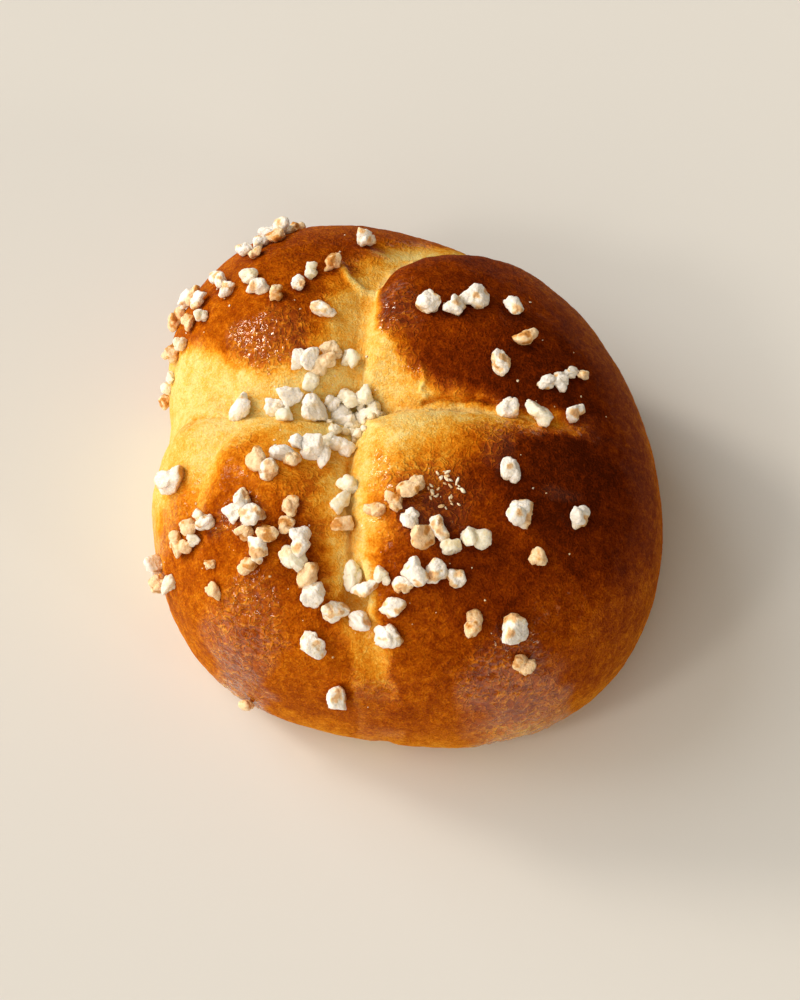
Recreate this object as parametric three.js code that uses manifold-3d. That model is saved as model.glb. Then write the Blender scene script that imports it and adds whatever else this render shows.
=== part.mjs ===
// A sugar brioche: one soft round bun, snipped crosswise before baking so that it opened
// into four lobes, with pearl sugar baked onto the crust. Millimetres, +Z up. The bun
// stands on the XY plane, and the middle of its plan is on the Z axis.
import * as THREE from 'three';
import { mergeVertices } from 'three/addons/utils/BufferGeometryUtils.js';
import Module from 'manifold-3d';

const wasm = await Module();
wasm.setup();

// ---------------------------------------------------------------- driving dimensions

const bun = {
  halfWidth: 52,        // along X, before the outline's unevenness
  halfDepth: 56,        // along Y
  height: 54,           // top of the dome that the clefts are pressed into
  beltHeight: 18,       // the widest level
  lowerReach: 25,       // how far the lower curve would run below the belt if no floor cut it
  upperPower: 2.3,      // 2 is an ellipse, more is squarer
  lowerPower: 3,
};

// Unevenness of the outline: waves round the bun, each with its height in millimetres and
// the bearing of one crest in degrees.
const outlineWaves = [
  { waves: 2, height: 3, crest: -45 },      // longest from the front right to the rear left
  { waves: 3, height: 1.5, crest: -15 },    // fullest on the right, flat on the left
  { waves: 4, height: 1.5, crest: 40 },     // and a little square, a corner to each lobe
];

const cross = { x: -12, y: 2.5 };             // where the four clefts meet
const crossPit = { depth: 5, radius: 12 };    // the hollow at that place

// The clefts. Each runs out from the cross, or from a start of its own, at its bearing and
// bends sideways by `bend` at `bendAt`. Its depth goes from depthIn to depthOut along its
// length, and it fades away between fadeFrom and fadeTo. `left` and `right` are the widths of
// the two shoulders, as seen by someone walking outwards, and the soft values turn a round
// shoulder (0) into a gentle slope (1).
const clefts = [
  {
    bearing: 80, length: 54, bend: -12, bendPower: 6, bendAt: 44, depthIn: 8.5, depthOut: 2.5,
    fadeFrom: 44, fadeTo: 64, floor: 1.0, left: 22, right: 10, leftSoft: 0.6, rightSoft: 0.1,
  },
  {
    bearing: -1, length: 50, bend: -2.5, bendPower: 1.6, bendAt: 44, depthIn: 8.5, depthOut: 4,
    fadeFrom: 36, fadeTo: 58, floor: 0.6, left: 17, right: 10, leftSoft: 0.5, rightSoft: 0.25,
  },
  {
    bearing: -88, length: 46, bend: 2.5, bendPower: 4, bendAt: 44, depthIn: 8.5, depthOut: 4.5,
    fadeFrom: 36, fadeTo: 58, floor: 0.4, left: 12, right: 17, leftSoft: 0.3, rightSoft: 0.4,
  },
  {
    bearing: 183, length: 46, bend: -6, bendPower: 3, bendAt: 36, depthIn: 8, depthOut: 3,
    fadeFrom: 34, fadeTo: 58, floor: 1.2, left: 14, right: 27, leftSoft: 0.3, rightSoft: 0.8,
  },
  {
    start: { x: -29, y: 0 },
    bearing: 208, length: 24, bend: 12, bendPower: 2.5, bendAt: 20, depthIn: 3, depthOut: 1.8,
    fadeFrom: 12, fadeTo: 26, floor: 0.3, left: 6, right: 9, leftSoft: 0.1, rightSoft: 0.5,
  },
];
const cleftLevels = { from: 2, to: 16 };      // no cleft below the first, full depth above the second
const cleftStart = {
  rise: [-8, 2],              // along the cleft, its depth comes up between these
  widen: [-6, 10],            // and its shoulders get their full width between these
  narrow: 0.6,                // from this share of it
};

// Swellings of the dough between the clefts: plan position, radius and height.
const swellings = [
  { x: -42, y: 3, radius: 5.5, height: 1.8 },    // the fold at the end of the left cleft
  { x: -22, y: 16, radius: 10, height: 1.6 },    // the nose of the rear left lobe
];

const grid = { rays: 72, rings: 30 };         // facets of the bun, round and from top to floor

// Pearl sugar, in trails. A trail runs straight over the crust from one place to another, each
// a bearing and an angle down from the top, in degrees, seen from the middle of the bun at
// belt height. Its nibs are evenly spaced, and spread over `width` degrees on both sides.
// There is one letter for each nib: w white, t toasted, c clear, and a capital for a big one.
const sugarTrails = [
  // the rear left lobe's crest, and down its left side
  { from: [112, 75], to: [127, 66], width: 3, size: 4.0, nibs: 'twWwtwwt' },
  { from: [111, 53], to: [132, 49], width: 1, size: 4.3, nibs: 'tcwt' },
  { from: [134, 54], to: [142, 80], width: 3, size: 4.1, nibs: 'wcwWwtwt' },
  { from: [146, 65], to: [160, 86], width: 2, size: 3.6, nibs: 'ctctcct' },
  { from: [99, 61], to: [124, 41], width: 0, size: 5.3, nibs: 'ww' },
  // the heap where the clefts meet, and what rolled into the front cleft
  { from: [148, 36], to: [127, 30], width: 2, size: 4.6, nibs: 'Wttc' },
  { from: [173, 43], to: [136, 13], width: 7, size: 4.3, nibs: 'wcwWcwWccwCc' },
  { from: [-155, 43], to: [-147, 26], width: 4, size: 4.4, nibs: 'twwtwwwcw' },
  { from: [-124, 33], to: [-115, 43], width: 1, size: 4.6, nibs: 'cct' },
  // the front left lobe
  { from: [174, 51], to: [-167, 67], width: 0, size: 5.2, nibs: 'wW' },
  { from: [-149, 60], to: [-154, 70], width: 3, size: 4.0, nibs: 'wcctTt' },
  { from: [-156, 84], to: [-148, 80], width: 2, size: 4.4, nibs: 'wtc' },
  { from: [-141, 65], to: [-137, 68], width: 0, size: 3.0, nibs: 'tT' },
  { from: [-147, 50], to: [-130, 57], width: 4, size: 4.8, nibs: 'wwWttwt' },
  { from: [-134, 44], to: [-119, 56], width: 2, size: 4.4, nibs: 'ttWct' },
  { from: [-114, 59], to: [-101, 63], width: 1, size: 5.4, nibs: 'www' },
  { from: [-110, 68], to: [-103, 79], width: 0, size: 6.0, nibs: 'ww' },
  { from: [-123, 97], to: [-123, 97], width: 0, size: 3.2, nibs: 't' },
  // across the front cleft, and the front right lobe
  { from: [-104, 54], to: [-73, 51], width: 2, size: 4.7, nibs: 'cwcwWww' },
  { from: [-85, 37], to: [-67, 47], width: 3, size: 4.6, nibs: 'wtwcC' },
  { from: [-100, 36], to: [-82, 30], width: 1, size: 4.1, nibs: 'ttT' },
  { from: [-91, 57], to: [-92, 63], width: 0, size: 5.3, nibs: 'ww' },
  { from: [-63, 72], to: [-70, 60], width: 4, size: 4.7, nibs: 'tWt' },
  { from: [-37, 38], to: [-51, 55], width: 1, size: 5.1, nibs: 'wwt' },
  { from: [-33, 55], to: [-33, 55], width: 0, size: 4.9, nibs: 'w' },
  // the rear right lobe, and along the right cleft
  { from: [74, 34], to: [57, 41], width: 3, size: 5.1, nibs: 'www' },
  { from: [26, 34], to: [42, 47], width: 5, size: 5.1, nibs: 'wtw' },
  { from: [13, 45], to: [16, 54], width: 1, size: 3.6, nibs: 'wwwt' },
  { from: [3, 36], to: [-1, 51], width: 3, size: 5.0, nibs: 'wcw' },
];
const nib = {
  big: 1.28,                  // a capital letter's size over a small letter's
  unevenSize: 0.12,           // sizes vary by this share either way
  unevenCorner: 0.16,         // and each corner by this share
  unevenLength: 0.2,          // a nib is longer or shorter for its width by up to this share
  sides: [1.05, 0.92, 0.8],   // length, width and thickness over the size
  lift: 0.24,                 // the middle's height over the crust, as a share of the size
  tilt: 0.6,                  // and it leans over by up to this angle in radians
};
const goldenStep = (Math.sqrt(5) - 1) / 2;
const drawsPerNib = 16;       // each nib has this many random draws of its own

// ---------------------------------------------------------------- the crust's form

const radians = (degrees) => (degrees * Math.PI) / 180;
const clamp = (value, low, high) => Math.min(Math.max(value, low), high);

function smoothStep(from, to, value) {
  const t = clamp((value - from) / (to - from), 0, 1);
  return t * t * (3 - 2 * t);
}

// Distance from the Z axis to the belt at a bearing.
function outlineRadius(bearing) {
  const along = Math.abs(Math.cos(bearing)) / bun.halfWidth;
  const across = Math.abs(Math.sin(bearing)) / bun.halfDepth;
  let radius = 1 / Math.hypot(along, across);
  for (const wave of outlineWaves) {
    radius += wave.height * Math.cos(wave.waves * (bearing - radians(wave.crest)));
  }
  return radius;
}

// Distance from the middle, at belt height, to the dome before any cleft.
function domeRadius(bearing, polar) {
  const above = Math.cos(polar) >= 0;
  const reach = above ? bun.height - bun.beltHeight : bun.lowerReach;
  const power = above ? bun.upperPower : bun.lowerPower;
  const across = Math.max(Math.sin(polar), 0) / outlineRadius(bearing);
  const up = Math.abs(Math.cos(polar)) / reach;
  return (across ** power + up ** power) ** (-1 / power);
}

// Share of a cleft's depth at a share u of its shoulder's width: 1 at the floor, 0 on top.
function shoulder(u, soft) {
  const blunt = 0.06;         // keeps the quarter circle from ending in a vertical wall
  const share = clamp(u, 0, 1);
  const top = Math.sqrt(1 + blunt);
  const round = (top - Math.sqrt(share * (2 - share) + blunt)) / (top - Math.sqrt(blunt));
  const slope = 0.5 + 0.5 * Math.cos(Math.PI * share);
  return round + (slope - round) * soft;
}

// Depth of one cleft under a point of the dome given in plan.
function oneCleft(cleft, x, y) {
  const bearing = radians(cleft.bearing);
  const start = cleft.start ?? cross;
  const dx = x - start.x;
  const dy = y - start.y;
  const along = dx * Math.cos(bearing) + dy * Math.sin(bearing);
  const out = Math.max(along, 0) / cleft.bendAt;
  const bend = cleft.bend * out ** cleft.bendPower;
  const slant = ((cleft.bend * cleft.bendPower) / cleft.bendAt) * out ** (cleft.bendPower - 1);
  const across = (dy * Math.cos(bearing) - dx * Math.sin(bearing) - bend) / Math.hypot(1, slant);
  const distance = Math.hypot(Math.min(along, 0), across);
  const onLeft = across > 0;
  const widening = cleftStart.narrow + (1 - cleftStart.narrow) * smoothStep(...cleftStart.widen, along);
  const width = (onLeft ? cleft.left : cleft.right) * widening;
  const share = clamp(along / cleft.length, 0, 1);
  const depth = (cleft.depthIn + (cleft.depthOut - cleft.depthIn) * share)
    * (1 - smoothStep(cleft.fadeFrom, cleft.fadeTo, along)) * smoothStep(...cleftStart.rise, along);
  const soft = onLeft ? cleft.leftSoft : cleft.rightSoft;
  return depth * shoulder(Math.max(distance - cleft.floor, 0) / width, soft);
}

// All clefts joined smoothly, with the pit where they meet, less the swellings.
function carvedDepth(x, y) {
  const power = 4;
  let total = 0;
  for (const cleft of clefts) {
    total += oneCleft(cleft, x, y) ** power;
  }
  const pit = Math.hypot(x - cross.x, y - cross.y) / crossPit.radius;
  let depth = total ** (1 / power) + crossPit.depth * Math.exp(-pit * pit);
  for (const swelling of swellings) {
    const distance = Math.hypot(x - swelling.x, y - swelling.y) / swelling.radius;
    depth -= swelling.height * Math.exp(-(distance ** 3));
  }
  return depth;
}

// Unit vector at a bearing and an angle down from the top.
function rayTowards(bearing, polar) {
  const out = Math.sin(polar);
  return new THREE.Vector3(out * Math.cos(bearing), out * Math.sin(bearing), Math.cos(polar));
}

// The crust in a direction from the middle: the dome's point, moved inwards by the carving.
function crustPoint(bearing, polar) {
  const dome = domeRadius(bearing, polar);
  const direction = rayTowards(bearing, polar);
  const level = bun.beltHeight + dome * direction.z;
  const carve = carvedDepth(dome * direction.x, dome * direction.y)
    * smoothStep(cleftLevels.from, cleftLevels.to, level);
  const point = direction.multiplyScalar(dome - carve);
  point.z = Math.max(point.z + bun.beltHeight, 0);
  return point;
}

// Angle from the vertical at which the crust reaches the floor.
function floorPolar(bearing) {
  const share = (bun.beltHeight / bun.lowerReach) ** bun.lowerPower;
  const radius = outlineRadius(bearing) * (1 - share) ** (1 / bun.lowerPower);
  return Math.PI - Math.atan2(radius, bun.beltHeight);
}

// ---------------------------------------------------------------- the bun

// Rings of points from the cross down to the floor. The rings' pole is pulled over to the
// cross, so that the rays run along the clefts, and the floor closes them with a flat fan.
function bunGeometry() {
  const pull = bun.height - bun.beltHeight - crossPit.depth - clefts[0].depthIn / 2;
  const poleX = cross.x / pull;
  const poleY = cross.y / pull;
  const points = [];
  const addPoint = (ray, ring) => {
    const bearing = (ray / grid.rays) * 2 * Math.PI;
    const polar = (ring / grid.rings) * floorPolar(bearing);
    const weight = Math.max(Math.cos(polar), 0) ** 2;
    const x = Math.sin(polar) * Math.cos(bearing) + poleX * weight;
    const y = Math.sin(polar) * Math.sin(bearing) + poleY * weight;
    points.push(crustPoint(Math.atan2(y, x), Math.atan2(Math.hypot(x, y), Math.cos(polar))));
  };
  addPoint(0, 0);
  for (let ring = 1; ring <= grid.rings; ring += 1) {
    for (let ray = 0; ray < grid.rays; ray += 1) {
      addPoint(ray, ring);
    }
  }
  points.push(new THREE.Vector3(0, 0, 0));

  const index = (ray, ring) => 1 + (ring - 1) * grid.rays + (ray % grid.rays);
  const last = points.length - 1;
  const faces = [];
  for (let ray = 0; ray < grid.rays; ray += 1) {
    faces.push(0, index(ray, 1), index(ray + 1, 1));
    for (let ring = 1; ring < grid.rings; ring += 1) {
      const [upper, lower] = [index(ray, ring), index(ray, ring + 1)];
      const [nextUpper, nextLower] = [index(ray + 1, ring), index(ray + 1, ring + 1)];
      faces.push(upper, lower, nextLower, upper, nextLower, nextUpper);
    }
    faces.push(last, index(ray + 1, grid.rings), index(ray, grid.rings));
  }
  const geometry = new THREE.BufferGeometry().setFromPoints(points);
  geometry.setIndex(faces);
  return geometry;
}

// ---------------------------------------------------------------- the pearl sugar

// A repeatable draw between 0 and 1.
function draw(number) {
  const value = Math.sin(number * 12.9898 + 4.1414) * 43758.5453;
  return value - Math.floor(value);
}

// The crust's outward direction, from its slope over a nib's width.
function crustNormal(bearing, polar) {
  const step = 0.03;
  const down = crustPoint(bearing, polar + step).sub(crustPoint(bearing, polar - step));
  const side = step / Math.max(Math.sin(polar), step);
  const round = crustPoint(bearing + side, polar).sub(crustPoint(bearing - side, polar));
  return down.cross(round).normalize();
}

// Direction of the nib that is number `order` in its trail. It lies an even step along the
// trail, and steps of the golden ratio, with the whole turns left out, spread the nibs evenly
// over the width.
function nibDirection(trail, order) {
  const start = rayTowards(...trail.from.map(radians));
  const along = rayTowards(...trail.to.map(radians)).sub(start);
  const share = order / Math.max(trail.nibs.length - 1, 1);
  const place = start.addScaledVector(along, share).normalize();
  const left = place.clone().cross(along).normalize();
  const side = 2 * ((0.5 + order * goldenStep) % 1) - 1;
  place.addScaledVector(left, radians(trail.width) * side);
  return { bearing: Math.atan2(place.y, place.x), polar: Math.atan2(Math.hypot(place.x, place.y), place.z) };
}

// One nib: a twenty-sided lump with uneven corners, turned at random and half sunk.
function nibGeometry(trail, order, number) {
  const letter = trail.nibs[order];
  const big = letter === letter.toUpperCase() ? nib.big : 1;
  const size = trail.size * big * (1 + nib.unevenSize * (2 * draw(number) - 1));
  const { bearing, polar } = nibDirection(trail, order);
  const normal = crustNormal(bearing, polar);
  const geometry = mergeVertices(bareGeometry(new THREE.IcosahedronGeometry(0.5, 0)));
  const corners = geometry.getAttribute('position');
  for (let corner = 0; corner < corners.count; corner += 1) {
    const stretch = 1 + nib.unevenCorner * (2 * draw(number + 1 + corner) - 1);
    const point = new THREE.Vector3().fromBufferAttribute(corners, corner).multiplyScalar(stretch);
    corners.setXYZ(corner, point.x, point.y, point.z);
  }
  const long = 1 + nib.unevenLength * (2 * draw(number + 13) - 1);
  const [length, width, thickness] = nib.sides;
  geometry.scale(size * length * long, (size * width) / Math.sqrt(long), size * thickness);
  geometry.rotateZ(2 * Math.PI * draw(number + 14));
  geometry.rotateX(nib.tilt * (2 * draw(number + 15) - 1));
  geometry.applyQuaternion(new THREE.Quaternion().setFromUnitVectors(new THREE.Vector3(0, 0, 1), normal));
  const place = crustPoint(bearing, polar).addScaledVector(normal, nib.lift * size);
  geometry.translate(place.x, place.y, place.z);
  return geometry;
}

// ---------------------------------------------------------------- joining

// The geometry with its positions only, so that shared corners can be merged.
function bareGeometry(geometry) {
  geometry.deleteAttribute('normal');
  geometry.deleteAttribute('uv');
  return geometry;
}

function toSolid(geometry) {
  const vertProperties = new Float32Array(geometry.getAttribute('position').array);
  const triVerts = new Uint32Array(geometry.getIndex().array);
  return new wasm.Manifold(new wasm.Mesh({ numProp: 3, vertProperties, triVerts }));
}

function toGeometry(solid) {
  const mesh = solid.getMesh();
  const geometry = new THREE.BufferGeometry();
  geometry.setAttribute('position', new THREE.BufferAttribute(mesh.vertProperties, 3));
  geometry.setIndex(new THREE.BufferAttribute(mesh.triVerts, 1));
  return geometry;
}

// The largest closed shell of a surface. Nibs that touch can shut a small hollow in between
// them and the crust, and leaving out its inner shell fills it.
function outerShell(geometry) {
  const faces = geometry.getIndex().array;
  const leader = Array.from({ length: geometry.getAttribute('position').count }, (_, vertex) => vertex);
  const shellOf = (vertex) => {
    while (leader[vertex] !== vertex) {
      leader[vertex] = leader[leader[vertex]];
      vertex = leader[vertex];
    }
    return vertex;
  };
  for (let corner = 0; corner < faces.length; corner += 3) {
    leader[shellOf(faces[corner + 1])] = shellOf(faces[corner]);
    leader[shellOf(faces[corner + 2])] = shellOf(faces[corner]);
  }
  const counts = new Map();
  for (const vertex of faces) {
    counts.set(shellOf(vertex), (counts.get(shellOf(vertex)) ?? 0) + 1);
  }
  const [largest] = [...counts].reduce((most, shell) => (shell[1] > most[1] ? shell : most));
  geometry.setIndex([...faces].filter((vertex) => shellOf(vertex) === largest));
  return geometry;
}

// The bun with every nib fused on, moved so that its box stands over the origin.
function brioche() {
  let solid = toSolid(bunGeometry());
  let number = 0;
  for (const trail of sugarTrails) {
    for (let order = 0; order < trail.nibs.length; order += 1) {
      solid = solid.add(toSolid(nibGeometry(trail, order, number)));
      number += drawsPerNib;
    }
  }
  const geometry = outerShell(toGeometry(solid));
  geometry.computeBoundingBox();
  const middle = geometry.boundingBox.getCenter(new THREE.Vector3());
  geometry.translate(-middle.x, -middle.y, 0);
  geometry.computeVertexNormals();
  const crust = new THREE.MeshStandardMaterial({ color: 0xa6602a, roughness: 0.45, metalness: 0 });
  const mesh = new THREE.Mesh(geometry, crust);
  mesh.name = 'bun';
  return mesh;
}

const model = new THREE.Group();
model.add(brioche());
export default model;
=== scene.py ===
import math
from functools import reduce

import bpy
import numpy as np
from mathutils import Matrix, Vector


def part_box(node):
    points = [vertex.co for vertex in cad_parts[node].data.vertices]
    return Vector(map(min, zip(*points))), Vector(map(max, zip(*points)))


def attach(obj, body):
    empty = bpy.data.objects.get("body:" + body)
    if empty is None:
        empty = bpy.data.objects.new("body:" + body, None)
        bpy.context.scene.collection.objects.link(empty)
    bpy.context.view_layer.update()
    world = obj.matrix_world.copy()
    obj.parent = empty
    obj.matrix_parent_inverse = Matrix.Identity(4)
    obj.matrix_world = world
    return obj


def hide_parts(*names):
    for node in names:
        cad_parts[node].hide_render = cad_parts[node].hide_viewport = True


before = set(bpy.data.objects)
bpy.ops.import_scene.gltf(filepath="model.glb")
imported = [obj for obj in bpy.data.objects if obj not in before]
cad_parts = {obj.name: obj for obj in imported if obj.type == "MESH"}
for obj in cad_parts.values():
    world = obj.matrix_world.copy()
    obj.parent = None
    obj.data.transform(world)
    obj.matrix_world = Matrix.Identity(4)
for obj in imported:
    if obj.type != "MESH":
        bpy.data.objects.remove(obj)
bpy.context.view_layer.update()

print("frame loaded:", sorted(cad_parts))

# shape work is in millimetres, and meshes are scaled to metres when they are made
metresPerMm = 0.001
mmPerMetre = 1000


# 0 before start, 1 after end, and an S curve between them
def smoothStep(start, end, value):
    t = np.clip((value - start) / (end - start), 0, 1)
    return t * t * (3 - 2 * t)


# repeatable random value from 0 to 1: the fraction of a large sine
def draw(number):
    value = np.sin(np.asarray(number, float) * 12.9898 + 4.1414) * 43758.5453
    return value - np.floor(value)


# the same, from -1 to 1
def drawBothWays(number):
    return 2 * draw(number) - 1


# a value at some share of the way between two limits
def partWay(limits, share):
    return limits[0] + (limits[1] - limits[0]) * share


# a whole-number hash of a lattice corner, from -1 to 1
def latticeValue(x, y, z, seed):
    n = (x * 374761393 + y * 668265263 + z * 1440662683 + seed * 974634777) & 0xFFFFFFFF
    n = ((n ^ (n >> 13)) * 1274126177) & 0xFFFFFFFF
    n = n ^ (n >> 16)
    return (n & 0xFFFFFF) / 8388607.5 - 1


# smooth noise from -1 to 1: the eight corner values round each point, blended by an S curve
def softNoise(points, size, seed):
    p = points / size
    low = np.floor(p).astype(np.int64)
    t = p - low
    t = t * t * t * (t * (6 * t - 15) + 10)
    total = np.zeros(p.shape[:-1])
    for corner in range(8):
        step = np.array([corner & 1, (corner >> 1) & 1, corner >> 2])
        weight = np.prod(np.where(step == 1, t, 1 - t), axis=-1)
        cell = low + step
        total += weight * latticeValue(cell[..., 0], cell[..., 1], cell[..., 2], seed)
    return total


# several noises added up: the amount, size and seed of each
def layeredNoise(points, layers):
    return sum(amount * softNoise(points, size, seed) for amount, size, seed in layers)


# winding ridges from 0 to 1: noise read at places that other noise has moved, high where it
# passes through zero
def windingRidges(points, size, warpSize, warp, sharpness, seed):
    moved = points + warp * np.stack([softNoise(points, warpSize, seed + k) for k in (1, 2, 3)], -1)
    return np.clip(1 - np.abs(softNoise(moved, size, seed)) * sharpness, 0, 1)


# The bun's form, by the same formula as the solid that it replaces.
bun = {
    "halfWidth": 52, "halfDepth": 56, "height": 54, "beltHeight": 18,
    "lowerReach": 25, "upperPower": 2.3, "lowerPower": 3,
    "outlineWaves": [(2, 3, -45), (3, 1.5, -15), (4, 1.5, 40)],      # waves, height, one crest's bearing
    "cross": (-12, 2.5), "pitDepth": 5, "pitRadius": 12,
    "cleftLevels": (2, 16), "cleftRise": (-8, 2), "cleftWiden": (-6, 10), "cleftNarrow": 0.6,
    "swellings": [(-42, 3, 5.5, 1.8), (-22, 16, 10, 1.6)],      # x, y, radius, height
}

# For each cleft: its bearing and length, how far it bends sideways, the bend's power and how
# far out that is reached; its depth at both ends, where it fades, its floor's half width, then
# width and softness of its left and right shoulders, as seen walking outwards. For the
# baking, left and right: how brown its dough is, and at some places along it how far the
# dough stays pale and where it is as brown as the cap. Within paleEnd the cap's brown closes
# over it. The fold is a side branch of the left cleft.
clefts = {
    "rear": {
        "bearing": 80, "length": 54, "bend": (-12, 6, 44),
        "depths": (8.5, 2.5), "fade": (44, 64), "floor": 1.0,
        "widths": (22, 10), "soft": (0.6, 0.1),
        "dough": (0.19, 0.16), "along": (0, 8, 12, 17, 21, 28, 35, 45, 54),
        "pale": [(9, 7.5, 6.5, 6, 6, 4, 2.5, 1.5, 0.5), (12, 11, 8.5, 3.6, 2.8, 0.8, 0.3, 0.3, 0.2)],
        "brown": [(14, 12, 11, 10.5, 10.5, 9.5, 9, 6, 3), (15, 13.5, 11.5, 6, 5.2, 2.6, 1.8, 2.2, 2)],
        "paleEnd": (44, 60),
    },
    "right": {
        "bearing": -1, "length": 50, "bend": (-2.5, 1.6, 44),
        "depths": (8.5, 4), "fade": (36, 58), "floor": 0.6,
        "widths": (17, 10), "soft": (0.5, 0.25),
        "dough": (0.21, 0.11), "along": (0, 12, 17, 21, 28, 37, 48),
        "pale": [(10, 8, 3.5, 1.5, 0.6, 0.4, 0.3), (10, 10, 7, 4.5, 1.5, 0.8, 0.5)],
        "brown": [(14, 12.5, 9, 6.5, 4.5, 3.5, 3), (26, 26, 25, 22, 15, 8, 4)],
        "paleEnd": (38, 54),
    },
    "front": {
        "bearing": -88, "length": 46, "bend": (2.5, 4, 44),
        "depths": (8.5, 4.5), "fade": (36, 58), "floor": 0.4,
        "widths": (12, 17), "soft": (0.3, 0.4),
        "dough": (0.12, 0.17), "along": (0, 18, 28, 36, 42, 52),
        "pale": [(6, 5, 3.4, 2.8, 2.2, 0.8), (4, 3, 2.6, 2.2, 1.4, 0.6)],
        "brown": [(20, 17, 11, 8, 6, 4.5), (9, 8.5, 8, 8, 6, 4)],
        "paleEnd": (40, 60),
    },
    "left": {
        "bearing": 183, "length": 46, "bend": (-6, 3, 36),
        "depths": (8, 3), "fade": (34, 58), "floor": 1.2,
        "widths": (14, 27), "soft": (0.3, 0.8),
        "dough": (0.14, 0.10), "along": (0, 6, 12, 17, 23, 28, 36, 50),
        "pale": [(6, 5, 4, 3, 4, 7, 14, 14), (9, 9, 7, 6.2, 9.5, 13.5, 16.5, 19)],
        "brown": [(13, 13, 13, 14, 16, 19, 30, 40), (14, 14, 11.5, 10.5, 15, 18.5, 21.5, 25)],
        "paleEnd": (70, 90),
    },
    "fold": {
        "start": (-29, 0),
        "bearing": 208, "length": 24, "bend": (12, 2.5, 20),
        "depths": (3, 1.8), "fade": (12, 26), "floor": 0.3,
        "widths": (6, 9), "soft": (0.1, 0.5),
        "dough": (0.14, 0.10), "along": (0, 6, 12, 20, 28),
        "pale": [(2.5, 2, 1.5, 1, 0.5), (8, 10, 14, 18, 18)],
        "brown": [(9, 8, 6.5, 4, 3), (14, 20, 24, 28, 28)],
        "paleEnd": (12, 22),
    },
}


# distance from the Z axis to the belt: an ellipse in plan, plus a few low waves round it
def outlineRadius(bearing):
    radius = 1 / np.hypot(np.cos(bearing) / bun["halfWidth"], np.sin(bearing) / bun["halfDepth"])
    for waves, height, crest in bun["outlineWaves"]:
        radius += height * np.cos(waves * (bearing - math.radians(crest)))
    return radius


# distance from the belt's middle: one superellipse up to the top, another one down
def domeRadius(bearing, polar):
    above = np.cos(polar) >= 0
    reach = np.where(above, bun["height"] - bun["beltHeight"], bun["lowerReach"])
    power = np.where(above, bun["upperPower"], bun["lowerPower"])
    across = np.maximum(np.sin(polar), 0) / outlineRadius(bearing)
    up = np.abs(np.cos(polar)) / reach
    return (across ** power + up ** power) ** (-1 / power)


# share of a cleft's depth over its shoulder: a blunted quarter circle, mixed with half a
# cosine wave
def shoulder(u, soft):
    blunt = 0.06
    share = np.clip(u, 0, 1)
    top = math.sqrt(1 + blunt)
    curve = (top - np.sqrt(share * (2 - share) + blunt)) / (top - math.sqrt(blunt))
    return partWay((curve, 0.5 + 0.5 * np.cos(np.pi * share)), soft)


# distance along a cleft, and across from its bent middle line, positive on the left
def cleftPlace(cleft, x, y):
    bearing = math.radians(cleft["bearing"])
    bend, power, bendAt = cleft["bend"]
    startX, startY = cleft.get("start", bun["cross"])
    dx, dy = x - startX, y - startY
    along = dx * math.cos(bearing) + dy * math.sin(bearing)
    out = np.maximum(along, 0) / bendAt
    slant = bend * power / bendAt * out ** (power - 1)
    across = dy * math.cos(bearing) - dx * math.sin(bearing) - bend * out ** power
    return along, across / np.hypot(1, slant)


# depth of one cleft: its depth at that place along it, times the share of its shoulder
def cleftDepth(cleft, x, y):
    along, across = cleftPlace(cleft, x, y)
    distance = np.hypot(np.minimum(along, 0), across)
    widening = partWay((bun["cleftNarrow"], 1), smoothStep(*bun["cleftWiden"], along))
    width = np.where(across > 0, *cleft["widths"]) * widening
    depth = partWay(cleft["depths"], np.clip(along / cleft["length"], 0, 1))
    depth = depth * (1 - smoothStep(*cleft["fade"], along)) * smoothStep(*bun["cleftRise"], along)
    soft = np.where(across > 0, *cleft["soft"])
    return depth * shoulder(np.maximum(distance - cleft["floor"], 0) / width, soft)


# the clefts joined by the fourth root of their fourth powers' sum, plus the pit where they
# meet, less the swellings
def carvedDepth(x, y):
    total = sum(cleftDepth(cleft, x, y) ** 4 for cleft in clefts.values())
    pit = np.hypot(x - bun["cross"][0], y - bun["cross"][1]) / bun["pitRadius"]
    depth = total ** 0.25 + bun["pitDepth"] * np.exp(-pit * pit)
    for swellX, swellY, radius, height in bun["swellings"]:
        distance = np.hypot(x - swellX, y - swellY) / radius
        depth -= height * np.exp(-distance ** 3)
    return depth


# unit vector at a bearing and an angle down from the top
def rayTowards(bearing, polar):
    return np.stack([np.sin(polar) * np.cos(bearing), np.sin(polar) * np.sin(bearing), np.cos(polar)], -1)


# bearing and angle down from the top of each vector
def directionOf(rays):
    x, y, z = rays[..., 0], rays[..., 1], rays[..., 2]
    return np.arctan2(y, x), np.arctan2(np.hypot(x, y), z)


def unitLength(vectors):
    return vectors / np.maximum(np.linalg.norm(vectors, axis=-1, keepdims=True), 1e-9)


# the dome's point moved inwards by the carving, and no lower than the floor
def crustPoint(bearing, polar):
    ray, dome = rayTowards(bearing, polar), domeRadius(bearing, polar)
    level = bun["beltHeight"] + dome * ray[..., 2]
    carve = carvedDepth(dome * ray[..., 0], dome * ray[..., 1]) * smoothStep(*bun["cleftLevels"], level)
    point = ray * (dome - carve)[..., None]
    point[..., 2] = np.maximum(point[..., 2] + bun["beltHeight"], 0)
    return point


# angle from the vertical at which the crust reaches the floor
def floorPolar(bearing):
    share = (bun["beltHeight"] / bun["lowerReach"]) ** bun["lowerPower"]
    radius = outlineRadius(bearing) * (1 - share) ** (1 / bun["lowerPower"])
    return np.pi - np.arctan2(radius, bun["beltHeight"])


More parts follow.
